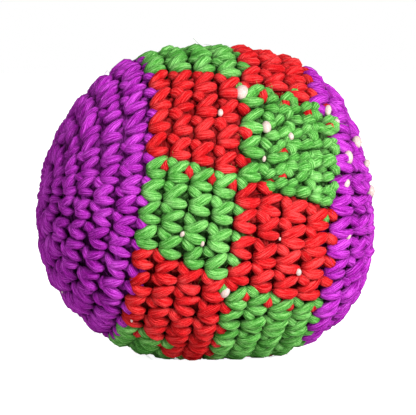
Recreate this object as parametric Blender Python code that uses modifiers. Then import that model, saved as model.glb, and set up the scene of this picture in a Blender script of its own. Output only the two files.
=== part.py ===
"""A crocheted footbag: a ball of single crochet, worked in rounds about a level axis and filled with pellets.

The cover starts at the left with a purple cap, goes on with two bands of red and green blocks, and closes at
the right with a second purple cap. Left and right are as seen from the front, along +Y. The sack stands on
z = 0 with the crochet axis along X, and all lengths are metres.
"""
import math

import bmesh
import bpy
from mathutils import Matrix, Vector

# The filled sack: half its length along the crochet axis, half its width and its height when not pressed
HALF_LENGTH = 0.0260
HALF_WIDTH = 0.0254
HALF_HEIGHT = 0.0249
# How far its own weight presses the underside flat
PRESSED = 0.0006
# How full each end is: 2 is an ellipse, and more is boxier
START_FULLNESS = 2.13
END_FULLNESS = 2.7

# The yarn, which sets the cover's thickness and how deep the holes between its stitches sink
YARN_WIDTH = 0.0019
WALL = 1.6 * YARN_WIDTH
STITCH_DIMPLE = 0.5 * YARN_WIDTH
# The gap left between two pieces
SEAM_GAP = 0.0003

# The hole in the loop that the first round is worked into, and the knot that closes the last one
START_LOOP_HOLE = 0.0008
KNOT_WIDTH = 1.9 * YARN_WIDTH
KNOT_HEIGHT = 0.8 * WALL

# The pellets: the room that they leave under the cover, and how far each stands out of the filling
PELLET_ROOM = 0.0004
PELLET_RISE = 0.0007

# The stitch counts of the rounds, from the start to the bands and from the bands to the end
START_ROUNDS = (7, 14, 21, 28, 34, 40)
END_ROUNDS = (40, 32, 24, 16, 8)
BAND_STITCHES = 40
BLOCK_STITCHES = 4
BLOCK_ROUNDS = 4
BANDS = 2
BAND_ROUNDS = BANDS * BLOCK_ROUNDS

# Where the rounds lie on the sack, as angles about its centre: the first band starts left of the middle
BAND_START_ANGLE = math.radians(-32.1)
ROUND_ANGLE = math.radians(8.6)
BAND_END_ANGLE = BAND_START_ANGLE + BAND_ROUNDS * ROUND_ANGLE
AXIS_TILT = math.radians(6.2)
# Each stitch sits a little further round than the one it is worked into
FIRST_STITCH_ANGLE = math.radians(-48.9)
DRIFT_ANGLE = math.radians(2.0)
DRIFT_CENTRE_ROUND = 4.0
# The filling is uneven: stitches crowd on one side, they swell apart in three places, and the rounds bow
CROWDING = 0.23
CROWDING_ANGLE = math.radians(36.0)
SWELL_ANGLE = math.radians(3.6)
SWELL_PLACES = 3
SWELL_START_ANGLE = math.radians(69.5)
BOW_ANGLE = math.radians(2.1)

# Points on the outside and on the inside of each stitch, each way, and round the loop
OUTER_POINT_COUNT = 3
INNER_POINT_COUNT = 1
LOOP_SEGMENTS = 16
LOOP_SIDES = 8
# A point counts as on the edge of a block or of a cap's hole within this share of a stitch
NEAR_EDGE_SHARE = 0.25

# The V of a stitch, as shares of the dimple's depth at its points: the hole beside its point comes first, and
# each row runs along the V, which opens towards the end. The rows are the gap above it, and its two arms
V_DIMPLE_SHARES = (
    (1.0, 0.8, 0.4),
    (0.6, 0.0, 0.3),
    (0.5, 0.0, 0.0),
)

CENTRE = Vector((0.0, 0.0, HALF_HEIGHT - PRESSED))
TILT = Matrix.Rotation(AXIS_TILT, 3, "Y")

COLOURS = {
    "purple": (0.33, 0.020, 0.36),
    "red": (0.74, 0.016, 0.022),
    "green": (0.085, 0.40, 0.055),
    "pellet": (0.86, 0.80, 0.72),
}
ROUGHNESS = {"purple": 0.62, "red": 0.62, "green": 0.62, "pellet": 0.35}


def clear_scene():
    for obj in list(bpy.data.objects):
        bpy.data.objects.remove(obj, do_unlink=True)


def make_material(name):
    material = bpy.data.materials.new(name)
    material.use_nodes = True
    shader = material.node_tree.nodes["Principled BSDF"]
    shader.inputs["Base Color"].default_value = (*COLOURS[name], 1.0)
    shader.inputs["Roughness"].default_value = ROUGHNESS[name]
    shader.inputs["Metallic"].default_value = 0.0
    material.diffuse_color = (*COLOURS[name], 1.0)
    return material


def add_object(name, bm, material, collection):
    bmesh.ops.recalc_face_normals(bm, faces=bm.faces)
    mesh = bpy.data.meshes.new(name)
    bm.to_mesh(mesh)
    bm.free()
    mesh.materials.append(material)
    obj = bpy.data.objects.new(name, mesh)
    collection.objects.link(obj)
    return obj


def sack_radius(direction):
    """Distance from the centre to the sack's skin: a round section, squarer towards the end than the start."""
    fullness = START_FULLNESS if direction.x < 0.0 else END_FULLNESS
    along = abs(direction.x) / HALF_LENGTH
    across = math.hypot(direction.y / HALF_WIDTH, direction.z / HALF_HEIGHT)
    return (along ** fullness + across ** fullness) ** (-1.0 / fullness)


def place(direction, depth, dimple=0.0):
    """The point under the skin in one direction, pressed flat where it would sink below the floor."""
    skin = direction * sack_radius(direction)
    floor = CENTRE.z - depth
    if skin.z < -CENTRE.z:
        return CENTRE + direction * (floor / -direction.z)
    point = direction * (skin.length - depth - dimple)
    if point.z < -floor:
        point = direction * (floor / -direction.z)
    return CENTRE + point


def latitude(round_place):
    """Angle of a round from the middle: rounds count from the first band, so the start cap's are below 0."""
    if round_place < 0.0:
        return BAND_START_ANGLE - (math.pi / 2.0 + BAND_START_ANGLE) * -round_place / len(START_ROUNDS)
    if round_place > BAND_ROUNDS:
        past = (round_place - BAND_ROUNDS) / len(END_ROUNDS)
        return BAND_END_ANGLE + (math.pi / 2.0 - BAND_END_ANGLE) * past
    return BAND_START_ANGLE + ROUND_ANGLE * round_place


def longitude(turn, round_place):
    """Angle round the axis, from the front downwards, for a place given as a part of a whole turn."""
    drift = DRIFT_ANGLE * (round_place - DRIFT_CENTRE_ROUND)
    angle = FIRST_STITCH_ANGLE + 2.0 * math.pi * turn + drift
    swell = SWELL_ANGLE * math.sin(SWELL_PLACES * (angle + SWELL_START_ANGLE))
    return angle + CROWDING * math.sin(angle + CROWDING_ANGLE) + swell


def direction_at(latitude_angle, longitude_angle):
    """The direction of a place on the sack, where the rounds bow to the left at the front and the back."""
    bow = BOW_ANGLE * math.cos(2.0 * longitude_angle) * math.cos(latitude_angle) ** 2
    across = math.cos(latitude_angle - bow)
    level = Vector((math.sin(latitude_angle - bow),
                    -across * math.cos(longitude_angle),
                    -across * math.sin(longitude_angle)))
    return TILT @ level


def cover_point(turn, round_place, depth, dimple=0.0, turn_side=0, round_side=0):
    """A point of the cover; a side of 1 or -1 draws it back from a seam by half of the gap there."""
    lat = latitude(round_place)
    lon = longitude(turn, round_place)
    reach = sack_radius(direction_at(lat, lon)) - depth
    half_gap = SEAM_GAP / 2.0
    lon -= turn_side * half_gap / (reach * math.cos(lat))
    lat -= round_side * half_gap / reach
    return place(direction_at(lat, lon), depth, dimple)


def dimple_at(stitch_place, round_place):
    """How deep the skin lies at a place of the stitch pattern: two plump arms meet at the point of each V."""
    down = round(stitch_place * OUTER_POINT_COUNT) % OUTER_POINT_COUNT
    along = round(round_place * OUTER_POINT_COUNT) % OUTER_POINT_COUNT
    return STITCH_DIMPLE * V_DIMPLE_SHARES[down][along]


def flat_patch(bm, points):
    """A grid as wide as a block, one unit to a stitch and to a round, with its corner at the origin."""
    size = Matrix.Diagonal((BLOCK_STITCHES / 2.0, BLOCK_ROUNDS / 2.0, 1.0, 1.0))
    move = Matrix.Translation((1.0, 1.0, 0.0))
    made = bmesh.ops.create_grid(bm, x_segments=BLOCK_STITCHES * points, y_segments=BLOCK_ROUNDS * points,
                                 size=1.0, matrix=size @ move)
    return made["verts"]


def side_of(place_in_block, last):
    if place_in_block < NEAR_EDGE_SHARE:
        return -1
    return 1 if place_in_block > last - NEAR_EDGE_SHARE else 0


def cover_block(name, block, band, material, collection):
    """One block of a single colour: made flat, wrapped on the sack, and closed round its edge."""
    bm = bmesh.new()
    layers = ((flat_patch(bm, OUTER_POINT_COUNT), 0.0), (flat_patch(bm, INNER_POINT_COUNT), WALL))
    for verts, depth in layers:
        for vert in verts:
            stitch, row = vert.co.x, vert.co.y
            dimple = 0.0 if depth else dimple_at(stitch, row)
            turn = (block * BLOCK_STITCHES + stitch - 0.5) / BAND_STITCHES
            vert.co = cover_point(turn, band * BLOCK_ROUNDS + row, depth, dimple,
                                  side_of(stitch, BLOCK_STITCHES), side_of(row, BLOCK_ROUNDS))
    rim = [edge for edge in bm.edges if edge.is_boundary]
    bmesh.ops.bridge_loops(bm, edges=rim)
    bmesh.ops.triangulate(bm, faces=bm.faces)
    return add_object(name, bm, material, collection)


def add_ring(bm, stitches, points, round_place, depth, edge_side=0, hole_radius=0.0):
    """A closed ring of points along one round; the last ring keeps the hole's radius about the axis."""
    verts = []
    for index in range(stitches * points):
        stitch = index / points
        turn = (stitch - 0.5) / stitches
        dimple = 0.0 if depth else dimple_at(stitch, round_place)
        if hole_radius:
            lat = math.copysign(math.acos(hole_radius / (HALF_LENGTH - depth)), round_place)
            point = place(direction_at(lat, longitude(turn, round_place)), depth, dimple)
        else:
            point = cover_point(turn, round_place, depth, dimple, 0, edge_side)
        verts.append(bm.verts.new(point))
    return verts


def join_rings(bm, first, second):
    """Triangles between two closed rings, which may have unlike counts of points."""
    i = 0
    j = 0
    while i < len(first) or j < len(second):
        a = first[i % len(first)]
        b = second[j % len(second)]
        if (i + 1) / len(first) <= (j + 1) / len(second):
            bm.faces.new((a, b, first[(i + 1) % len(first)]))
            i += 1
        else:
            bm.faces.new((a, b, second[(j + 1) % len(second)]))
            j += 1


def cover_cap(name, counts, edge_round, step, hole_radius, material, collection):
    """A domed cap of whole rounds, listed from its edge at a band to the small hole at its pole."""
    bm = bmesh.new()
    cap_angle = abs(latitude(edge_round + step * len(counts)) - latitude(edge_round))
    hole_edge = len(counts) * (1.0 - math.asin(hole_radius / HALF_LENGTH) / cap_angle)
    outer = [add_ring(bm, counts[0], OUTER_POINT_COUNT, edge_round, 0.0, -step)]
    inner = [add_ring(bm, counts[0], INNER_POINT_COUNT, edge_round, WALL, -step)]
    for row, count in enumerate(counts):
        for point in range(1, OUTER_POINT_COUNT):
            past = row + point / OUTER_POINT_COUNT
            if past < hole_edge - NEAR_EDGE_SHARE:
                outer.append(add_ring(bm, count, OUTER_POINT_COUNT, edge_round + step * past, 0.0))
        far = edge_round + step * (row + 1)
        last = row + 1 == len(counts)
        next_count = count if last else counts[row + 1]
        hole = hole_radius if last else 0.0
        inner_count = OUTER_POINT_COUNT if last else INNER_POINT_COUNT
        outer.append(add_ring(bm, next_count, OUTER_POINT_COUNT, far, 0.0, 0, hole))
        inner.append(add_ring(bm, next_count, inner_count, far, WALL, 0, hole))
    loops = outer + inner[::-1] + outer[:1]
    for first, second in zip(loops, loops[1:]):
        join_rings(bm, first, second)
    return add_object(name, bm, material, collection)


def pole(side):
    """The middle of a cap's skin, and the turn that stands a piece on it with its +Z along the crochet axis."""
    direction = TILT @ Vector((side, 0.0, 0.0))
    turn = direction.to_track_quat("Z", "Y").to_matrix().to_4x4()
    return CENTRE + direction * sack_radius(direction), turn


def start_loop(material, collection):
    """The ring of yarn that the first round is worked into, pulled nearly shut."""
    middle, turn = pole(-1.0)
    yarn_radius = YARN_WIDTH / 2.0
    bpy.ops.mesh.primitive_torus_add(major_segments=LOOP_SEGMENTS, minor_segments=LOOP_SIDES,
                                     major_radius=START_LOOP_HOLE / 2.0 + yarn_radius,
                                     minor_radius=yarn_radius)
    obj = bpy.context.object
    obj.name = "start_loop"
    obj.data.name = "start_loop"
    inward = (CENTRE - middle).normalized()
    obj.matrix_world = Matrix.Translation(middle + inward * (WALL / 2.0)) @ turn
    finish(obj, material, collection)
    return obj


def closing_knot(material, collection):
    """The knot that draws the last round together: a pinched cushion of yarn."""
    middle, turn = pole(1.0)
    bpy.ops.mesh.primitive_cube_add(size=1.0)
    obj = bpy.context.object
    obj.name = "closing_knot"
    obj.data.name = "closing_knot"
    obj.data.transform(Matrix.Diagonal((KNOT_WIDTH, KNOT_WIDTH, KNOT_HEIGHT, 1.0)))
    inward = (CENTRE - middle).normalized()
    obj.matrix_world = Matrix.Translation(middle + inward * (KNOT_HEIGHT / 2.0)) @ turn
    smooth = obj.modifiers.new("round", "SUBSURF")
    smooth.levels = 2
    smooth.render_levels = 2
    finish(obj, material, collection)
    return obj


def finish(obj, material, collection):
    obj.data.materials.append(material)
    for holder in list(obj.users_collection):
        holder.objects.unlink(obj)
    collection.objects.link(obj)


def pellet_fill(material, collection):
    """The loose pellets, as one packed filling: each face of a ball is drawn out into a pellet."""
    bm = bmesh.new()
    bmesh.ops.create_icosphere(bm, subdivisions=3, radius=1.0)
    poked = bmesh.ops.poke(bm, faces=bm.faces)
    crowns = set(poked["verts"])
    for vert in bm.verts:
        rise = 0.0 if vert in crowns else PELLET_RISE
        vert.co = place(vert.co.normalized(), WALL + PELLET_ROOM + rise)
    return add_object("pellet_fill", bm, material, collection)


def build():
    clear_scene()
    collection = bpy.data.collections.new("footbag")
    bpy.context.scene.collection.children.link(collection)
    materials = {name: make_material(name) for name in COLOURS}
    loop_hole = START_LOOP_HOLE / 2.0 + YARN_WIDTH + SEAM_GAP
    cover_cap("start_cap", START_ROUNDS[::-1], 0, -1, loop_hole, materials["purple"], collection)
    start_loop(materials["purple"], collection)
    for band, band_name in enumerate(("first_band", "second_band")):
        for block in range(BAND_STITCHES // BLOCK_STITCHES):
            colour = "red" if (block + band) % 2 == 0 else "green"
            cover_block(f"{band_name}_{colour}_{block // 2 + 1}", block, band, materials[colour], collection)
    knot_hole = KNOT_WIDTH / 2.0 + SEAM_GAP
    cover_cap("end_cap", END_ROUNDS, BAND_ROUNDS, 1, knot_hole, materials["purple"], collection)
    closing_knot(materials["purple"], collection)
    pellet_fill(materials["pellet"], collection)


build()
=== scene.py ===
"""A crocheted footbag, dressed over its CAD solids.

The cover is single crochet in acrylic yarn, worked in rounds from the left cap to the right one. The sack's
axis runs along X, it stands on z = 0, and the camera looks along +Y from a little to the left.
"""
import math

import bmesh
import bpy
import numpy as np
from mathutils import Matrix, Vector


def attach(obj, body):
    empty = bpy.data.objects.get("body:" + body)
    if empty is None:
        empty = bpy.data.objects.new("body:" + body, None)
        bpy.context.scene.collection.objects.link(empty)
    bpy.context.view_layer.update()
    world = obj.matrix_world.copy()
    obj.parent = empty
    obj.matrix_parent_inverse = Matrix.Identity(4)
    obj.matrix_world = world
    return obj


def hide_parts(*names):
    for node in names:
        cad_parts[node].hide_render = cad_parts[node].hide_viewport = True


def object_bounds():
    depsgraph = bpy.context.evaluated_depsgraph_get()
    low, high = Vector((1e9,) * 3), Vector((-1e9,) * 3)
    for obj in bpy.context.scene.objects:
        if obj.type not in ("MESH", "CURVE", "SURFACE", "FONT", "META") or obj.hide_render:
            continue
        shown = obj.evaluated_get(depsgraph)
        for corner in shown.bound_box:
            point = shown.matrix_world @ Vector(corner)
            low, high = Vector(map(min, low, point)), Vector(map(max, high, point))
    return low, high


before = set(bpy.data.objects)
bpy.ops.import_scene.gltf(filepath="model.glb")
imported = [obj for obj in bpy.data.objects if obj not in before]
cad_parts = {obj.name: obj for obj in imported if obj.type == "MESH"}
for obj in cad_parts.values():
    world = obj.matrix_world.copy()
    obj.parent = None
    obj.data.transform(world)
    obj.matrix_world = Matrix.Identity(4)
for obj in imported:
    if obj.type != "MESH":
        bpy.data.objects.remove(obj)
cad_low, cad_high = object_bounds()


# The start loop, a ring of purple yarn at the middle of the left cap. The first round is worked into it, and
# its tail then pulls it nearly shut. This section also holds what the whole cover is made of: the yarn, its
# finish, and the filled sack that the yarn lies on.
YARN_WIDTH = 0.0017
# The sack: how far the floor presses its underside in, how full its left and right ends are, how far its
# filling has sunk, how its axis leans, and how its middle round bows
PRESSED = 0.0006
START_FULLNESS = 2.13
END_FULLNESS = 2.7
SAG_SHARE = 0.08
AXIS_TILT = math.radians(6.2)
BOW_ANGLE = math.radians(2.1)
# The least fall at which a direction is taken to meet the floor
LEAST_DROP = 1e-6
half_length = (cad_high.x - cad_low.x) / 2.0
half_width = (cad_high.y - cad_low.y) / 2.0
half_height = (cad_high.z + PRESSED) / 2.0
centre_height = half_height - PRESSED
centre = np.array((0.0, 0.0, centre_height))
tilt = np.array(Matrix.Rotation(AXIS_TILT, 3, "Y"))


def sack_point(direction, depth):
    """The point under the sack's skin in a direction from its centre: it sags, and lies flat on the floor."""
    fullness = np.where(direction[..., 0] < 0.0, START_FULLNESS, END_FULLNESS)
    height = direction[..., 2]
    along = np.abs(direction[..., 0]) / half_length
    across = np.hypot(direction[..., 1] / half_width, height / half_height)
    sag = 1.0 - SAG_SHARE * height * (1.0 - height ** 2) ** 2
    reach = (along ** fullness + across ** fullness) ** (-1.0 / fullness) * sag - depth
    reach = np.minimum(reach, (centre_height - depth) / np.maximum(-height, LEAST_DROP))
    return direction * reach[..., None] + centre


def sack_direction(lat, lon):
    """The direction of a place, given by its angles off the middle round, which bows, and round the axis."""
    lat = lat - BOW_ANGLE * np.cos(2.0 * lon) * np.cos(lat) ** 2
    level = np.stack((np.sin(lat), -np.cos(lat) * np.cos(lon), -np.cos(lat) * np.sin(lon)), axis=-1)
    return level @ tilt.T


def unit(vectors):
    """The vectors, each at a length of 1."""
    return vectors / np.linalg.norm(vectors, axis=-1, keepdims=True)


class Wire:
    """A value on its way through a material's nodes, so that sums are written as sums."""

    def __init__(self, finish, node, output=0):
        self.finish = finish
        self.node = node
        self.socket = node.outputs[output]

    def out(self, output):
        return Wire(self.finish, self.node, output)

    def sum(self, operation, first, second):
        return self.finish.node("ShaderNodeMath", {"operation": operation}, {0: first, 1: second})

    def __add__(self, other):
        return self.sum("ADD", self, other)

    def __rsub__(self, other):
        return self.sum("SUBTRACT", other, self)

    def __mul__(self, other):
        return self.sum("MULTIPLY", self, other)


class Finish:
    """A material or the sky in the making. node() adds any node, with its settings and then its inputs."""

    def __init__(self, owner, shader, **constants):
        self.owner = owner
        owner.use_nodes = True
        self.tree = owner.node_tree
        self.shader = self.tree.nodes[shader]
        self.fill(self.shader, constants)

    def node(self, kind, settings, inputs):
        made = self.tree.nodes.new(kind)
        for name, value in settings.items():
            if name == "stops":
                while len(made.color_ramp.elements) < len(value):
                    made.color_ramp.elements.new(1.0)
                for element, (place, colour) in zip(made.color_ramp.elements, value):
                    element.position = place
                    element.color = (*colour, 1.0)
            else:
                setattr(made, name, value)
        self.fill(made, inputs)
        return Wire(self, made)

    def fill(self, node, inputs):
        for name, value in inputs.items():
            if isinstance(value, Wire):
                self.tree.links.new(value.socket, node.inputs[name])
            else:
                node.inputs[name].default_value = value


# The yarn's fibres: how many lie round a strand, how far they twist along it, how often they change, how
# rough the fuzz and how large the faded patches on them are, and how deep the grooves between them are
FIBRES_ROUND = 44.0
FIBRE_TWIST = 3.5
FIBRE_CHANGES = 1.6
FUZZ_SCALE = 5200.0
PATCH_SCALE = 260.0
GROOVE_DEPTH = 0.00018
# What streaks, fuzz and patches each add to the yarn's tone, and what the first two add to its relief
TONE_SHARES = (0.62, 0.2, 0.18)
RELIEF_SHARES = (0.82, 0.18)
TONE_STOPS = (0.40, 0.5, 0.60)
DULL_ROUGHNESS = 0.95
STREAK_SHINE = 0.3


def yarn_finish(name, deep, middle, bright, shade):
    """Brushed acrylic yarn: fibres along each strand, dull, a soft sheen, and painted shade where it is sunk.
    """
    made = Finish(bpy.data.materials.new(name), "Principled BSDF",
                  **{"Specular IOR Level": 0.05, "Sheen Weight": 0.02, "Sheen Roughness": 0.5,
                     "Sheen Tint": (*bright, 1.0)})
    fibre = made.node("ShaderNodeUVMap", {"uv_map": "fibre"}, {})
    place = made.node("ShaderNodeSeparateXYZ", {}, {0: fibre})
    across = place.out("X") * FIBRES_ROUND + place.out("Y") * FIBRE_TWIST
    lie = made.node("ShaderNodeCombineXYZ", {}, {"X": across, "Y": place.out("Y") * FIBRE_CHANGES})
    streaks = made.node("ShaderNodeTexNoise", {"noise_dimensions": "2D"},
                        {"Vector": lie, "Scale": 1.0, "Detail": 2.0, "Roughness": 0.66})
    where = made.node("ShaderNodeTexCoord", {}, {}).out("Object")
    fuzz = made.node("ShaderNodeTexNoise", {}, {"Vector": where, "Scale": FUZZ_SCALE, "Detail": 1.0})
    patches = made.node("ShaderNodeTexNoise", {}, {"Vector": where, "Scale": PATCH_SCALE, "Detail": 1.0})
    tone = streaks * TONE_SHARES[0] + fuzz * TONE_SHARES[1] + patches * TONE_SHARES[2]
    stops = tuple(zip(TONE_STOPS, (deep, middle, bright)))
    colour = made.node("ShaderNodeValToRGB", {"stops": stops}, {"Fac": tone})
    # Painted shade: where the yarn lies sunk, its colour is multiplied down towards the shade value,
    # darkening the holes and the strands' sides
    sunk = made.node("ShaderNodeAttribute", {"attribute_name": "sunk"}, {}).out("Fac")
    # Of the mix node's sockets, inputs 6 and 7 and output 2 are the ones for colours
    colour = made.node("ShaderNodeMix", {"data_type": "RGBA", "blend_type": "MULTIPLY"},
                       {"Factor": sunk, 6: colour, 7: (shade, shade, shade, 1.0)}).out(2)
    relief = streaks * RELIEF_SHARES[0] + fuzz * RELIEF_SHARES[1]
    bump = made.node("ShaderNodeBump", {}, {"Height": relief, "Strength": 1.0, "Distance": GROOVE_DEPTH})
    roughness = DULL_ROUGHNESS - streaks * STREAK_SHINE
    made.fill(made.shader, {"Base Color": colour, "Roughness": roughness, "Normal": bump})
    return made.owner


# The last number is how dark the painted shade makes the yarn where it lies deepest
purple_yarn = yarn_finish("purple_yarn", (0.20, 0.004, 0.21), (0.46, 0.018, 0.49), (0.74, 0.100, 0.79), 0.32)


def place_at_pole(side, depth):
    """The move that sets a piece in the middle of a cap, sunk to a depth, with its +Z out along the axis."""
    direction = tilt @ np.array((side, 0.0, 0.0))
    turn = Vector(direction).to_track_quat("Z", "Y").to_matrix().to_4x4()
    middle = Vector(sack_point(direction, np.array(0.0)))
    inward = (Vector(centre) - middle).normalized()
    return Matrix.Translation(middle + inward * depth) @ turn


LOOP_HOLE = 0.0008
LOOP_DEPTH = 0.0006
LOOP_SEGMENTS = 40
LOOP_SIDES = 12
LOOP_FIBRE_LENGTHS = 3.0
bpy.ops.object.select_all(action="DESELECT")
bpy.ops.mesh.primitive_torus_add(major_segments=LOOP_SEGMENTS, minor_segments=LOOP_SIDES,
                                 major_radius=LOOP_HOLE / 2.0 + YARN_WIDTH / 2.0,
                                 minor_radius=YARN_WIDTH / 2.0)
start_loop = bpy.context.object
start_loop.name = "start_loop_yarn"
start_loop.data.uv_layers[0].name = "fibre"
for uv in start_loop.data.uv_layers[0].uv:
    uv.vector = (uv.vector.y, uv.vector.x * LOOP_FIBRE_LENGTHS)
start_loop.data.transform(place_at_pole(-1.0, LOOP_DEPTH))
start_loop.matrix_world = Matrix.Identity(4)
start_loop.data.materials.append(purple_yarn)
bpy.ops.object.shade_smooth()
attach(start_loop, "root")
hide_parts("start_loop")


# The start cap: purple single crochet in six rounds of 7 to 40 stitches, which spread from the loop to the
# first band. Each stitch shows as a V of two plump arms that lies on its side, with the two loops of its top
# edge beside it. This section also has the strands, loose fibres and under layer of the whole cover.

# Where the rounds lie, by their angles off the sack's middle
BAND_START_ANGLE = math.radians(-32.1)
ROUND_ANGLE = math.radians(8.6)
BAND_ROUNDS = 8
BAND_END_ANGLE = BAND_START_ANGLE + BAND_ROUNDS * ROUND_ANGLE
POLE_MARGIN = math.radians(2.6)
# Where the stitches lie round the sack: the first one, how far each round starts past the last, how they
# crowd together on one side, and how their width swells and shrinks in three places
FIRST_STITCH_ANGLE = math.radians(-48.9)
DRIFT_ANGLE = math.radians(2.0)
DRIFT_CENTRE_ROUND = 4.0
CROWDING = 0.23
CROWDING_ANGLE = math.radians(36.0)
SWELL_ANGLE = math.radians(3.6)
SWELL_PLACES = 3
SWELL_START_ANGLE = math.radians(69.5)
START_ROUNDS = (40, 34, 28, 21, 14, 7)
END_ROUNDS = (40, 32, 24, 16, 8)
STITCH_WIDTH = 0.00395
ROUND_WIDTH = 0.00382
V_POINT_SHARE = 0.1
STRAND_SIDES = 8
STRAND_SPANS = 8
HAIR_SIDES = 3
HAIR_SPANS = 3

# The strands of one stitch, as points in shares: across the round, up it, and then the depth and the
# thickness of the strand in yarn widths. The V's point is near 0, 0, and the next round starts at 1 across.
STITCH_SHARES = (
    # the upper and the lower arm of the V
    ((0.02, -0.08, 0.95, 0.94), (0.18, 0.02, 0.50, 1.08), (0.39, 0.17, 0.31, 1.06),
     (0.61, 0.32, 0.27, 0.95), (0.82, 0.44, 0.56, 0.44)),
    ((0.02, -0.15, 1.00, 0.94), (0.20, -0.23, 0.54, 1.08), (0.42, -0.27, 0.35, 1.10),
     (0.65, -0.26, 0.30, 0.98), (0.88, -0.21, 0.58, 0.40)),
    # the front and the back loop of its top edge
    ((1.30, 0.03, 1.00, 0.72), (1.20, 0.11, 0.62, 0.98), (1.09, 0.20, 0.50, 1.08),
     (0.98, 0.29, 0.58, 1.00), (0.88, 0.38, 0.90, 0.62)),
    ((1.46, 0.12, 1.30, 0.60), (1.42, 0.24, 1.02, 0.76), (1.38, 0.36, 0.90, 0.80),
     (1.34, 0.48, 0.96, 0.76), (1.30, 0.60, 1.30, 0.60)),
    # the root of the loops, deep in the V
    ((0.50, -0.04, 1.30, 0.50), (0.64, 0.03, 1.06, 0.66), (0.76, 0.10, 0.98, 0.70),
     (0.88, 0.18, 0.98, 0.66), (0.98, 0.26, 1.10, 0.50)),
)
TIP_SHARE = 0.1
CURVE_STEP = 0.01


def strand_blank(sides, spans):
    """One straight strand, from which all others are copied: a ringed cylinder along Z, with fibres on it."""
    bpy.ops.object.select_all(action="DESELECT")
    bpy.ops.mesh.primitive_cylinder_add(vertices=sides, radius=1.0, depth=1.0, end_fill_type="TRIFAN")
    blank = bpy.context.object
    bpy.ops.object.mode_set(mode="EDIT")
    bpy.ops.mesh.select_mode(type="EDGE")
    bpy.ops.mesh.select_all(action="DESELECT")
    bpy.ops.object.mode_set(mode="OBJECT")
    for edge in blank.data.edges:
        heights = [blank.data.vertices[index].co.z for index in edge.vertices]
        edge.select = abs(heights[0] - heights[1]) > 0.5
    bpy.ops.object.mode_set(mode="EDIT")
    bpy.ops.mesh.subdivide(number_cuts=spans - 1)
    bpy.ops.object.mode_set(mode="OBJECT")
    for vert in blank.data.vertices:
        vert.co.z = math.sin(math.pi * vert.co.z) / 2.0
    fibre = blank.data.uv_layers[0]
    fibre.name = "fibre"
    for face in blank.data.polygons:
        middle = math.atan2(face.center.x, -face.center.y)
        for loop in face.loop_indices:
            spot = blank.data.vertices[blank.data.loops[loop].vertex_index].co
            angle = math.atan2(spot.x, -spot.y) if spot.xy.length > 0.5 else middle
            if angle - middle > math.pi:
                angle -= 2.0 * math.pi
            if middle - angle > math.pi:
                angle += 2.0 * math.pi
            fibre.uv[loop].vector = (angle / (2.0 * math.pi) + 0.5, spot.z + 0.5)
    return blank


def along_curve(points, share):
    """A smooth curve through the points, read at shares of its length from 0 to 1."""
    spans = len(points) - 1
    span = np.minimum((share * spans).astype(int), spans - 1)
    t = (share * spans - span)[:, None]
    before = np.vstack((2.0 * points[0] - points[1], points[:-1]))
    after = np.vstack((points[1:], 2.0 * points[-1] - points[-2]))
    slopes = (after - before) / 2.0
    start_slope = slopes[span]
    end_slope = slopes[span + 1]
    a = points[span]
    b = points[span + 1]
    return (a * (1.0 - 3.0 * t ** 2 + 2.0 * t ** 3) + start_slope * (t - 2.0 * t ** 2 + t ** 3)
            + b * (3.0 * t ** 2 - 2.0 * t ** 3) + end_slope * (t ** 3 - t ** 2))


def bend_strand(shares, blank_points):
    """The middle line under each point of a bent strand, in shares of a stitch, and its offset in metres."""
    shares = np.array(shares)
    place = blank_points[:, 2] + 0.5
    lie = along_curve(shares, place)
    ahead = along_curve(shares, np.minimum(place + CURVE_STEP, 1.0))
    behind = along_curve(shares, np.maximum(place - CURVE_STEP, 0.0))
    scale = np.array((ROUND_WIDTH, STITCH_WIDTH, -YARN_WIDTH))
    tangent = unit((ahead - behind)[:, :3] * scale)
    side = unit(np.cross(np.array((0.0, 0.0, 1.0)), tangent))
    rise = np.cross(tangent, side)
    to_tip = 0.5 - np.abs(blank_points[:, 2:3])
    rounding = np.sqrt(1.0 - np.clip(1.0 - to_tip / TIP_SHARE, 0.0, 1.0) ** 2)
    radius = lie[:, 3:4] * rounding * YARN_WIDTH / 2.0
    offset = radius * (side * blank_points[:, 0:1] + rise * blank_points[:, 1:2])
    return lie[:, :3], offset


def latitude(round_place):
    """The angle off the sack's middle of a place counted in rounds, from the first band's first edge."""
    start = BAND_START_ANGLE + (math.pi / 2.0 + BAND_START_ANGLE) * round_place / len(START_ROUNDS)
    end = BAND_END_ANGLE + (math.pi / 2.0 - BAND_END_ANGLE) * (round_place - BAND_ROUNDS) / len(END_ROUNDS)
    band = BAND_START_ANGLE + ROUND_ANGLE * round_place
    angle = np.where(round_place < 0.0, start, np.where(round_place > BAND_ROUNDS, end, band))
    return np.clip(angle, POLE_MARGIN - math.pi / 2.0, math.pi / 2.0 - POLE_MARGIN)


def longitude(turn, row):
    """The angle round the axis of a place given in turns along a round."""
    angle = FIRST_STITCH_ANGLE + 2.0 * math.pi * turn + DRIFT_ANGLE * (row - DRIFT_CENTRE_ROUND)
    swell = SWELL_ANGLE * np.sin(SWELL_PLACES * (angle + SWELL_START_ANGLE))
    return angle + CROWDING * np.sin(angle + CROWDING_ANGLE) + swell


class Bent:
    """Strands bent to their shapes: each point's place on the middle line, its offset from it, the number of
    its strand, and how far it follows when the strand bows, from 1 at the middle to -1 at the ends."""

    def __init__(self, strand_shares):
        bent = [bend_strand(shares, blank_points) for shares in strand_shares]
        self.count = len(bent)
        self.lie = np.vstack([lie for lie, offset in bent])
        self.offset = np.vstack([offset for lie, offset in bent])
        self.number = np.repeat(np.arange(self.count), len(blank_points))
        self.bow = np.tile(1.0 - 8.0 * blank_points[:, 2] ** 2, self.count)


blank_strand = strand_blank(STRAND_SIDES, STRAND_SPANS)
blank_points = np.array([vert.co[:] for vert in blank_strand.data.vertices])
blank_hair = strand_blank(HAIR_SIDES, HAIR_SPANS)
hair_points = np.array([vert.co[:] for vert in blank_hair.data.vertices])
stitch = Bent(STITCH_SHARES)

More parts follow.
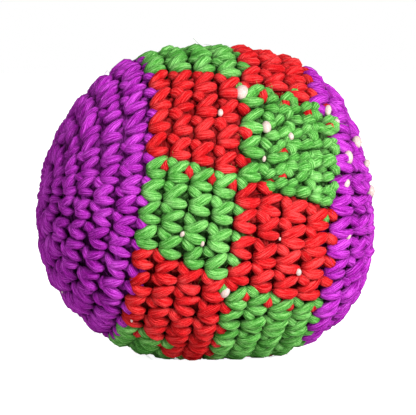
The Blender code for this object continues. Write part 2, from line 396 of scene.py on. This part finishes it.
# How unlike each other the stitches and their strands are
TURN_SPREAD = math.radians(4.5)
SIZE_SPREAD = 0.06
LUMP_SPREAD = 0.045
BEND_SPREAD = 0.025
SHIFT_SPREAD = 0.025
STRAY_SPREAD = 0.045
DEPTH_SPREAD = 0.00010
# How strands thin where a stitch's room, times an allowance, is less than its width, and in a narrow round
ROOM_ALLOWANCE = 1.2
SQUEEZE_POWER = 0.35
SPREAD_POWER = 0.5
# The depth at which the yarn's painted shade is darkest, and how much flatter and thinner the caps are worked
SHADE_DEPTH = 0.0013
CAP_RELIEF = 0.72
CAP_THICKNESS = 0.88
# The depth of an arm's top in yarn widths, and the small step by which the sack's slope is taken
ARM_TOP_SHARE = 0.28
NUDGE_ANGLE = 1e-3


def lay_strands(bent, row, count, stitches, dice, mess):
    """The points of a run of stitches of one round, laid on the sack, each a little unlike the next."""
    stitches = np.asarray(stitches, dtype=float)[:, None]
    many = len(stitches)
    turn = dice.normal(0.0, TURN_SPREAD * mess, (many, 1))
    size = 1.0 + dice.normal(0.0, SIZE_SPREAD * mess, (many, 1))
    shift = dice.normal(0.0, SHIFT_SPREAD * mess, (many, 2))
    lift = dice.normal(0.0, DEPTH_SPREAD, (many, bent.count))[:, bent.number]
    thick = 1.0 + dice.normal(0.0, SIZE_SPREAD, (many, bent.count))[:, bent.number]
    bend = dice.normal(0.0, BEND_SPREAD, (2, many, bent.count))[:, :, bent.number] * bent.bow
    across = (bent.lie[:, 0] - 0.5) * size + bend[0]
    up = bent.lie[:, 1] * size + bend[1]
    if mess > 1.0:
        stray = dice.normal(0.0, STRAY_SPREAD, (2, many, bent.count))[:, :, bent.number]
        across = across + stray[0]
        up = up + stray[1]
    across, up = (0.5 + across * np.cos(turn) - up * np.sin(turn) + shift[:, 0:1],
                  across * np.sin(turn) + up * np.cos(turn) + shift[:, 1:2])
    in_band = 0 <= row < BAND_ROUNDS
    relief = 1.0 if in_band else CAP_RELIEF
    depth = (ARM_TOP_SHARE + (bent.lie[:, 2] - ARM_TOP_SHARE) * relief) * YARN_WIDTH + lift
    lat = latitude(row + across)
    lon = longitude((stitches + V_POINT_SHARE - up) / count, row)
    middle = sack_point(sack_direction(lat, lon), depth)
    to_next_round = unit(sack_point(sack_direction(lat + NUDGE_ANGLE, lon), depth) - middle)
    to_stitch_above = unit(sack_point(sack_direction(lat, lon - NUDGE_ANGLE), depth) - middle)
    outward = unit(np.cross(to_next_round, to_stitch_above))
    from_lat, to_lat = latitude(np.array((row, row + 1.0)))
    circumference = 2.0 * math.pi * half_width * math.cos((from_lat + to_lat) / 2.0)
    squeeze = min(1.0, circumference / count / STITCH_WIDTH * ROOM_ALLOWANCE) ** SQUEEZE_POWER
    squeeze *= ((to_lat - from_lat) * half_width / ROUND_WIDTH) ** SPREAD_POWER
    squeeze *= 1.0 if in_band else CAP_THICKNESS
    lumps = 1.0 + dice.normal(0.0, LUMP_SPREAD, thick.shape)
    offset = bent.offset * (thick * lumps)[..., None] * squeeze
    placed = (middle + to_next_round * offset[..., 0:1] + to_stitch_above * offset[..., 1:2]
              + outward * offset[..., 2:3])
    placed[..., 2] = np.maximum(placed[..., 2], 0.0)
    # Painted shade: each point's depth under the skin, as a share of SHADE_DEPTH, is how far its colour is
    # darkened
    sunk = np.clip((depth - offset[..., 2]) / SHADE_DEPTH, 0.0, 1.0)
    return placed.reshape(-1, 3), sunk.ravel()


# The loose fibres: their number and size, how far up and across they lean, how they curl aside and back, how
# their lengths differ, how far they thin towards the tip, and how near a strand's ends they grow
HAIRS_PER_STRAND = 2.8
HAIR_WIDTH = 0.00008
HAIR_LENGTH = 0.0012
HAIR_LIFT = 0.4
HAIR_SLANT = 0.6
HAIR_CURL = 0.5
HAIR_DROOP = 0.4
HAIR_LENGTH_RANGE = (0.5, 1.5)
HAIR_TAPER = 0.6
SIDE_SHARE = 0.45
side_points = np.flatnonzero(np.abs(blank_points[:, 2]) < SIDE_SHARE)
ends = [int(np.argmin(blank_points[:, 2])), int(np.argmax(blank_points[:, 2]))]


def lay_hairs(points, dice, mess):
    """The points of the loose fibres: each starts on a strand, leaves it at a slant and curls."""
    strands = points.reshape(-1, len(blank_points), 3)
    many = int(len(strands) * HAIRS_PER_STRAND * mess)
    owner = dice.integers(len(strands), size=many)
    start = strands[owner, dice.choice(side_points, many)]
    along = unit(strands[owner, ends[1]] - strands[owner, ends[0]])
    outward = unit(start - centre)
    across = unit(np.cross(along, outward))
    lean = unit(outward * dice.uniform(0.0, HAIR_LIFT, (many, 1)) + along * dice.normal(0.0, 1.0, (many, 1))
                + across * dice.normal(0.0, HAIR_SLANT, (many, 1)))
    curl = (across * dice.normal(0.0, HAIR_CURL, (many, 1))
            - outward * dice.uniform(0.0, HAIR_DROOP, (many, 1)))
    length = HAIR_LENGTH * dice.uniform(*HAIR_LENGTH_RANGE, (many, 1, 1))
    share = hair_points[:, 2:3] + 0.5
    side = unit(np.cross(lean, outward))
    rise = np.cross(lean, side)
    radius = HAIR_WIDTH / 2.0 * (1.0 - share * HAIR_TAPER)
    laid = start[:, None] + length * (lean[:, None] * share + curl[:, None] * share ** 2)
    laid = laid + radius * (side[:, None] * hair_points[:, 0:1] + rise[:, None] * hair_points[:, 1:2])
    laid[..., 2] = np.maximum(laid[..., 2], 0.0)
    return laid.reshape(-1, 3)


# How deep the under layer lies, how far it grows to meet the next one, and how its fibres run
UNDER_DEPTH = 0.0018
UNDER_OVERLAP = 0.0004
UNDER_WELD = 1e-6
UNDER_FIBRE_RATE = 120.0
UNDER_FIBRE_SLANT = 90.0


def under_layer(node):
    """The yarn behind the stitches: the node's own solid, drawn in, and grown until it meets the next one."""
    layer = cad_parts[node].copy()
    layer.data = layer.data.copy()
    bpy.context.scene.collection.objects.link(layer)
    bm = bmesh.new()
    bm.from_mesh(layer.data)
    bmesh.ops.remove_doubles(bm, verts=bm.verts, dist=UNDER_WELD)
    bm.normal_update()
    grown = {vert: vert.co + vert.normal * UNDER_OVERLAP for vert in bm.verts}
    for vert, spot in grown.items():
        out = spot - Vector(centre)
        vert.co = Vector(centre) + out * (1.0 - UNDER_DEPTH / out.length)
    bm.to_mesh(layer.data)
    bm.free()
    # The under layer is painted fully in shade, as the dark holes between the stitches show it
    sunk = layer.data.attributes.new("sunk", "FLOAT", "POINT")
    sunk.data.foreach_set("value", np.ones(len(layer.data.vertices)))
    fibre = layer.data.uv_layers.new(name="fibre")
    for loop in layer.data.loops:
        spot = layer.data.vertices[loop.vertex_index].co
        along = spot.z * UNDER_FIBRE_RATE + spot.y * UNDER_FIBRE_SLANT
        fibre.uv[loop.index].vector = (spot.x * UNDER_FIBRE_RATE, along)
    return layer


# How far along the pattern of fibres a strand's own part of it may start
FIBRE_SHIFT = 40.0


def many_copies(name, blank, points, sunk, finish, dice):
    """An object of copies of a blank, put where their points are, each with its own part of the fibres."""
    number = len(points) // len(blank.data.vertices)
    bpy.ops.object.select_all(action="DESELECT")
    made = bpy.data.objects.new(name, blank.data.copy())
    bpy.context.scene.collection.objects.link(made)
    made.select_set(True)
    bpy.context.view_layer.objects.active = made
    copies = made.modifiers.new("copies", "ARRAY")
    copies.count = number
    bpy.ops.object.modifier_apply(modifier="copies")
    made.data.vertices.foreach_set("co", points.ravel())
    # Each point's share of the shade painted into the yarn's colour
    made.data.attributes.new("sunk", "FLOAT", "POINT").data.foreach_set("value", sunk)
    fibre = made.data.uv_layers["fibre"].uv
    laid = np.zeros(len(fibre) * 2)
    fibre.foreach_get("vector", laid)
    laid = laid.reshape(number, -1, 2) + dice.uniform(0.0, FIBRE_SHIFT, (number, 1, 2))
    fibre.foreach_set("vector", laid.ravel())
    made.data.materials.append(finish)
    bpy.ops.object.shade_smooth()
    return made


def strand_piece(name, bent, runs, finish, dice, mess=1.0):
    """A piece of many strands: runs of stitches, each with its round, the round's count and its stitches."""
    laid_runs = [lay_strands(bent, row, count, stitches, dice, mess) for row, count, stitches in runs]
    points = np.vstack([points for points, sunk in laid_runs])
    hairs = lay_hairs(points, dice, mess)
    # The loose fibres get no painted shade
    fuzz = many_copies(f"{name}_fuzz", blank_hair, hairs, np.zeros(len(hairs)), finish, dice)
    sunk = np.concatenate([sunk for points, sunk in laid_runs])
    piece = many_copies(name, blank_strand, points, sunk, finish, dice)
    fuzz.select_set(True)
    bpy.ops.object.join()
    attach(piece, "root")
    return piece


def cover_piece(node, runs, finish, seed, mess=1.0):
    """A piece of the cover: its stitches over an under layer."""
    piece = strand_piece(f"{node}_stitches", stitch, runs, finish, np.random.default_rng(seed), mess)
    layer = under_layer(node)
    layer.data.materials.clear()
    layer.data.materials.append(finish)
    layer.data.shade_smooth()
    layer.select_set(True)
    bpy.ops.object.join()
    piece.data.update()
    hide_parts(node)


start_runs = [(-1 - row, count, range(count)) for row, count in enumerate(START_ROUNDS)]
cover_piece("start_cap", start_runs, purple_yarn, seed=11)


# The two bands of red and green blocks, each four stitches high and four rounds wide. The two yarns are
# carried along the round and swapped at each block's edge, where the other colour shows inside the block's
# first Vs.
BAND_STITCHES = 40
BLOCK_STITCHES = 4
BLOCK_ROUNDS = 4
CARRIED_SHARES = (
    ((0.84, -0.16, 0.90, 0.60), (0.82, -0.04, 0.64, 0.90), (0.80, 0.08, 0.56, 1.00),
     (0.84, 0.20, 0.62, 0.90), (0.92, 0.32, 0.90, 0.60)),
)
# The second band's first green block is worked more loosely. Its last three rounds show short puffs of split
# yarn in place of Vs, and the other yarn pokes out of two places in it
LOOSE_BLOCK = "second_band_green_1"
LOOSE_BLOCK_MESS = 1.4
STRAY_PLACES = ((5, 2), (5, 3))
SPLIT_ROUNDS = (5, 6, 7)
SPLIT_SHARES = (
    ((0.02, -0.19, 1.30, 0.55), (0.12, -0.25, 0.50, 0.96), (0.24, -0.27, 0.24, 1.10),
     (0.36, -0.26, 0.48, 0.96), (0.45, -0.23, 1.30, 0.50)),
    ((0.53, -0.26, 1.30, 0.55), (0.62, -0.22, 0.40, 0.96), (0.73, -0.17, 0.14, 1.08),
     (0.84, -0.12, 0.40, 0.96), (0.93, -0.08, 1.30, 0.50)),
    ((0.05, 0.04, 1.30, 0.50), (0.15, 0.10, 0.54, 0.84), (0.26, 0.17, 0.32, 0.98),
     (0.37, 0.23, 0.54, 0.84), (0.45, 0.27, 1.30, 0.45)),
    ((0.53, 0.20, 1.30, 0.50), (0.61, 0.29, 0.46, 0.88), (0.70, 0.38, 0.24, 1.00),
     (0.79, 0.46, 0.46, 0.88), (0.86, 0.53, 1.30, 0.45)),
    ((1.12, 0.00, 1.30, 0.50), (1.06, 0.09, 0.48, 0.86), (0.99, 0.18, 0.26, 1.00),
     (0.92, 0.27, 0.48, 0.86), (0.86, 0.35, 1.30, 0.45)),
    ((0.98, 0.42, 1.30, 0.45), (1.01, 0.50, 0.56, 0.82), (1.03, 0.58, 0.36, 0.94),
     (1.05, 0.66, 0.56, 0.82), (1.06, 0.73, 1.30, 0.45)),
    ((0.44, -0.04, 1.40, 0.50), (0.53, -0.01, 0.84, 0.80), (0.62, 0.03, 0.70, 0.90),
     (0.71, 0.07, 0.84, 0.80), (0.79, 0.11, 1.40, 0.45)),
)
# The stitches, by round and place, that the real cover has in another yarn than the rest of their block
CHANGED_STITCHES = {
    "purple": ((7, 36), (7, 37), (7, 38), (7, 39)),
    "red": ((2, 12), (3, 12)),
    "green": ((4, 12), (5, 12), (6, 12), (7, 12)),
}
# The places in the second band's last round where the red yarn shows between the purple stitches
SHOWING_RED_PLACES = (37, 38, 39)
BLOCK_SEEDS = (100, 200)
CARRIED_SEEDS = (1000, 1100)
CHANGED_SEED = 31
SHOWING_RED_SEED = 32
SPLIT_SEED = 35
# The last number of each yarn is how dark its painted shade is where it lies deepest
yarns = {
    "purple": purple_yarn,
    "red": yarn_finish("red_yarn", (0.44, 0.003, 0.005), (0.77, 0.011, 0.016), (0.91, 0.080, 0.080), 0.28),
    "green": yarn_finish("green_yarn", (0.038, 0.22, 0.022), (0.118, 0.46, 0.072), (0.34, 0.76, 0.23), 0.17),
}
carried = Bent(CARRIED_SHARES)
split = Bent(SPLIT_SHARES)
changed = {spot for spots in CHANGED_STITCHES.values() for spot in spots}
for band, band_name in enumerate(("first_band", "second_band")):
    for block in range(BAND_STITCHES // BLOCK_STITCHES):
        colour, other = ("red", "green") if (block + band) % 2 == 0 else ("green", "red")
        node = f"{band_name}_{colour}_{block // 2 + 1}"
        first = block * BLOCK_STITCHES
        rounds = range(band * BLOCK_ROUNDS, (band + 1) * BLOCK_ROUNDS)
        runs = []
        for row in rounds:
            places = [place for place in range(first, first + BLOCK_STITCHES) if (row, place) not in changed]
            if places and not (node == LOOSE_BLOCK and row in SPLIT_ROUNDS):
                runs.append((row, BAND_STITCHES, places))
        mess = LOOSE_BLOCK_MESS if node == LOOSE_BLOCK else 1.0
        cover_piece(node, runs, yarns[colour], BLOCK_SEEDS[band] + block, mess)
        showing = rounds if colour == "green" else rounds[-1:]
        runs = [(row, BAND_STITCHES, [first]) for row in showing if (row, first) not in changed]
        if node == LOOSE_BLOCK:
            runs += [(row, BAND_STITCHES, [place]) for row, place in STRAY_PLACES]
        if runs:
            strand_piece(f"{node}_carried_yarn", carried, runs, yarns[other],
                         np.random.default_rng(CARRIED_SEEDS[band] + block))
for colour, places in CHANGED_STITCHES.items():
    runs = [(row, BAND_STITCHES, [place]) for row, place in places]
    strand_piece(f"changed_{colour}_stitches", stitch, runs, yarns[colour],
                 np.random.default_rng(CHANGED_SEED))
runs = [(BAND_ROUNDS - 1, BAND_STITCHES, SHOWING_RED_PLACES)]
strand_piece("red_yarn_under_purple", carried, runs, yarns["red"],
             np.random.default_rng(SHOWING_RED_SEED))
runs = [(row, BAND_STITCHES, range(BLOCK_STITCHES)) for row in SPLIT_ROUNDS]
strand_piece("split_yarn", split, runs, yarns["green"],
             np.random.default_rng(SPLIT_SEED), LOOSE_BLOCK_MESS)


# The end cap: purple again, in five rounds of 40 stitches down to 8, which close the sack.
end_runs = [(BAND_ROUNDS + row, count, range(count)) for row, count in enumerate(END_ROUNDS)]
cover_piece("end_cap", end_runs, purple_yarn, seed=12)
bpy.data.objects.remove(blank_strand)
bpy.data.objects.remove(blank_hair)


# The closing knot, an overhand knot drawn tight in the end of the yarn, where the last round is pulled
# together.
KNOT_SEGMENTS = 72
KNOT_SIDES = 12
KNOT_YARN_SHARE = 0.66
KNOT_SPREAD = 0.00058
KNOT_RISE = 0.00068
KNOT_DEPTH = 0.0002
KNOT_STEP = 0.01
KNOT_FIBRE_LENGTHS = 8.0
KNOT_BLANK_RADIUS = 0.5
bpy.ops.object.select_all(action="DESELECT")
bpy.ops.mesh.primitive_torus_add(major_segments=KNOT_SEGMENTS, minor_segments=KNOT_SIDES, major_radius=1.0,
                                 minor_radius=KNOT_BLANK_RADIUS)
closing_knot = bpy.context.object
closing_knot.name = "closing_knot_yarn"


def knot_path(turn):
    """The yarn's way through the knot: twice round its middle, crossing itself three times."""
    return Vector(((math.sin(turn) + 2.0 * math.sin(2.0 * turn)) * KNOT_SPREAD,
                   (math.cos(turn) - 2.0 * math.cos(2.0 * turn)) * KNOT_SPREAD,
                   -math.sin(3.0 * turn) * KNOT_RISE))


for vert in closing_knot.data.vertices:
    turn = math.atan2(vert.co.y, vert.co.x)
    along = (knot_path(turn + KNOT_STEP) - knot_path(turn - KNOT_STEP)).normalized()
    side = along.cross(Vector((0.0, 0.0, 1.0))).normalized()
    radius = KNOT_YARN_SHARE * YARN_WIDTH / 2.0
    outward = (vert.co.xy.length - 1.0) / KNOT_BLANK_RADIUS
    rise = side.cross(along) * vert.co.z / KNOT_BLANK_RADIUS
    vert.co = knot_path(turn) + (side * outward + rise) * radius
closing_knot.data.uv_layers[0].name = "fibre"
for uv in closing_knot.data.uv_layers[0].uv:
    uv.vector = (uv.vector.y, uv.vector.x * KNOT_FIBRE_LENGTHS)
closing_knot.data.transform(place_at_pole(1.0, KNOT_DEPTH))
closing_knot.matrix_world = Matrix.Identity(4)
closing_knot.data.materials.append(purple_yarn)
bpy.ops.object.shade_smooth()
bpy.ops.object.mode_set(mode="EDIT")
bpy.ops.mesh.select_all(action="SELECT")
bpy.ops.mesh.normals_make_consistent(inside=False)
bpy.ops.object.mode_set(mode="OBJECT")
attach(closing_knot, "root")
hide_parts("closing_knot")


# The pellets: smooth cream plastic beads that fill the sack. Most lie behind the cover, and a few have
# worked their way out between the stitches, where they show as white spots.
PELLET_RADIUS = 0.0010
PELLET_COUNT = 320
PELLET_DEPTH = 0.0050
PELLET_LENGTH_SHARE = 1.3
PELLET_WAIST_SHARE = 0.88
PELLET_SPREAD = 0.12
PELLET_STRAY = 0.25
PELLET_SEED = 5
MM_PER_METRE = 1000.0
# The ones that show at the front: round, stitch, place across and up it in shares, and then the radius and
# how far the pellet stands out past the sack's skin, in millimetres
SHOWING_PELLETS = (
    (3, 0, 0.93, -0.15, 1.20, 0.6), (3, 1, 0.00, -0.13, 0.48, 0.4), (4, 1, 0.97, -0.30, 0.84, 0.6),
    (5, 1, 0.97, -0.32, 0.52, 0.5), (4, 3, 0.91, 0.44, 0.38, 0.5), (1, 6, 0.88, -0.41, 0.40, 0.4),
    (2, 6, 0.72, -0.44, 0.38, 0.3), (6, 6, 0.68, -0.32, 0.46, 0.6), (3, 8, 0.90, 0.02, 0.72, 0.5),
    (5, 5, 0.80, -0.31, 0.24, 0.1), (0, 11, 0.45, 0.06, 0.26, 0.2), (7, 39, 0.59, -0.30, 0.72, 0.9),
    (8, 0, 0.06, 0.66, 0.50, 0.5), (8, 0, 1.12, 0.50, 0.86, 1.0), (8, 1, 0.60, 0.26, 0.94, 0.7),
    (9, 0, 0.93, 0.26, 0.66, 0.9), (8, 2, 0.44, -0.05, 0.62, 0.6), (9, 1, 1.50, 0.17, 0.80, 0.8),
    (8, 4, 0.60, -0.37, 0.56, 0.6), (11, 0, 0.30, 0.20, 0.80, 0.8),
)
# On the side away from the viewer the showing ones are placed at random, in the holes between stitches
FAR_SIDE_PELLETS = 26
FAR_SIDE_SIZES = (0.5, 0.7)
FAR_SIDE_DEPTH = 0.0009
HOLE_SHARE = (0.95, -0.36)
# The plastic is slightly cloudy, from a dull cream to a paler one
CLOUD_SCALE = 220.0
CLOUD_STOPS = ((0.35, (0.57, 0.41, 0.35)), (0.6, (0.69, 0.57, 0.54)))
pellet_plastic = Finish(bpy.data.materials.new("pellet_plastic"), "Principled BSDF",
                        **{"Roughness": 0.5, "Specular IOR Level": 0.3})
pellet_clouds = pellet_plastic.node("ShaderNodeTexNoise", {}, {"Scale": CLOUD_SCALE})
pellet_tint = pellet_plastic.node("ShaderNodeValToRGB", {"stops": CLOUD_STOPS}, {"Fac": pellet_clouds})
pellet_plastic.fill(pellet_plastic.shader, {"Base Color": pellet_tint})
bpy.ops.object.select_all(action="DESELECT")
bpy.ops.mesh.primitive_ico_sphere_add(subdivisions=2, radius=PELLET_RADIUS)
pellets = bpy.context.object
pellets.name = "pellets"
pellet_dice = np.random.default_rng(PELLET_SEED)


def pellet_middle(row, place, across, up, depth):
    """The middle of a pellet that has come up beside a stitch."""
    counts = {-1 - index: count for index, count in enumerate(START_ROUNDS)}
    counts.update({BAND_ROUNDS + index: count for index, count in enumerate(END_ROUNDS)})
    turn = (place + V_POINT_SHARE - up) / counts.get(row, BAND_STITCHES)
    direction = sack_direction(latitude(np.array(row + across)), longitude(turn, row))
    return sack_point(direction, np.array(depth))


golden = math.pi * (3.0 - math.sqrt(5.0))
heights = 1.0 - 2.0 * (np.arange(PELLET_COUNT) + 0.5) / PELLET_COUNT
turns = golden * np.arange(PELLET_COUNT)
level = np.sqrt(1.0 - heights ** 2)
spread = np.stack((level * np.cos(turns), level * np.sin(turns), heights), axis=-1)
middles = list(sack_point(spread, np.full(PELLET_COUNT, PELLET_DEPTH)))
sizes = [1.0] * PELLET_COUNT
for row, place, across, up, radius, stand_out in SHOWING_PELLETS:
    middles.append(pellet_middle(row, place, across, up, (radius - stand_out) / MM_PER_METRE))
    sizes.append(radius / MM_PER_METRE / PELLET_RADIUS)
while len(middles) < PELLET_COUNT + len(SHOWING_PELLETS) + FAR_SIDE_PELLETS:
    row = int(pellet_dice.integers(1 - len(START_ROUNDS), BAND_ROUNDS + len(END_ROUNDS) - 2))
    middle = pellet_middle(row, int(pellet_dice.integers(BAND_STITCHES)), *HOLE_SHARE, FAR_SIDE_DEPTH)
    if middle[1] > 0.0:
        middles.append(middle)
        sizes.append(pellet_dice.uniform(*FAR_SIDE_SIZES))
ball = np.array([vert.co[:] for vert in pellets.data.vertices])
middles = np.array(middles)
round_way = np.cross(tilt @ np.array((1.0, 0.0, 0.0)), middles - centre)
long_way = unit(unit(round_way) + pellet_dice.normal(0.0, PELLET_STRAY, round_way.shape))[:, None, :]
stretch = PELLET_WAIST_SHARE + pellet_dice.uniform(-PELLET_SPREAD, PELLET_SPREAD, (len(middles), 1, 1))
lengthen = PELLET_LENGTH_SHARE - stretch
copies = pellets.modifiers.new("copies", "ARRAY")
copies.count = len(middles)
bpy.ops.object.modifier_apply(modifier="copies")
beads = ball * stretch + long_way * (ball @ long_way.transpose(0, 2, 1)) * lengthen
beads = middles[:, None, :] + beads * np.array(sizes)[:, None, None]
pellets.data.vertices.foreach_set("co", beads.ravel())
pellets.data.materials.append(pellet_plastic.owner)
bpy.ops.object.shade_smooth()
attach(pellets, "root")
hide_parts("pellet_fill")


# The studio: a white floor that keeps the shadow, a large soft lamp at the upper right and a weak fill.
FLOOR_SIZE = 4.0
PAPER_GLOW = 0.92
SKY_LIGHT = 0.37


def seen_ray(finish):
    """1 for a ray that sees the backdrop, also in a reflection, and 0 for one that gathers its light."""
    path = finish.node("ShaderNodeLightPath", {}, {})
    return path.out("Is Camera Ray") + path.out("Is Glossy Ray") + path.out("Is Transmission Ray")


bpy.ops.object.select_all(action="DESELECT")
bpy.ops.mesh.primitive_plane_add(size=FLOOR_SIZE)
floor = bpy.context.object
floor.name = "floor"
paper = Finish(bpy.data.materials.new("white_paper"), "Principled BSDF",
               **{"Base Color": (0.78, 0.78, 0.78, 1.0), "Roughness": 0.9, "Emission Strength": PAPER_GLOW})
paper.fill(paper.shader, {"Emission Color": seen_ray(paper)})
floor.data.materials.append(paper.owner)

sky = Finish(bpy.data.worlds.new("studio"), "Background", Color=(1.0, 1.0, 1.0, 1.0))
sky.fill(sky.shader, {"Strength": seen_ray(sky) * (1.0 - SKY_LIGHT) + SKY_LIGHT})
bpy.context.scene.world = sky.owner

LAMPS = {
    "key_lamp": ((0.21, -0.58, 0.26), 0.25, 5.4),
    "fill_lamp": ((-0.42, -0.58, 0.10), 0.50, 0.9),
}
for name, (place, size, power) in LAMPS.items():
    bpy.ops.object.light_add(type="AREA", location=place)
    lamp = bpy.context.object
    lamp.name = name
    lamp.data.size = size
    lamp.data.energy = power
    lamp.rotation_euler = (Vector(centre) - Vector(place)).to_track_quat("-Z", "Y").to_euler()


# The camera: a long lens at the photograph's angle, with the sack where the photograph has it.
CAMERA_AZIMUTH = math.radians(-12.0)
CAMERA_ELEVATION = math.radians(3.0)
CAMERA_DISTANCE = 0.7
CAMERA_LENS = 382.9
AIM_RIGHT = 0.00084
AIM_DOWN = 0.00059
back = Vector((math.sin(CAMERA_AZIMUTH) * math.cos(CAMERA_ELEVATION),
               -math.cos(CAMERA_AZIMUTH) * math.cos(CAMERA_ELEVATION), math.sin(CAMERA_ELEVATION)))
camera_turn = back.to_track_quat("Z", "Y")
aim = Vector(centre) + camera_turn @ Vector((AIM_RIGHT, -AIM_DOWN, 0.0))
bpy.ops.object.camera_add(location=aim + back * CAMERA_DISTANCE)
camera = bpy.context.object
camera.rotation_euler = camera_turn.to_euler()
camera.data.lens = CAMERA_LENS
bpy.context.scene.camera = camera
bpy.context.scene.view_settings.view_transform = "Standard"
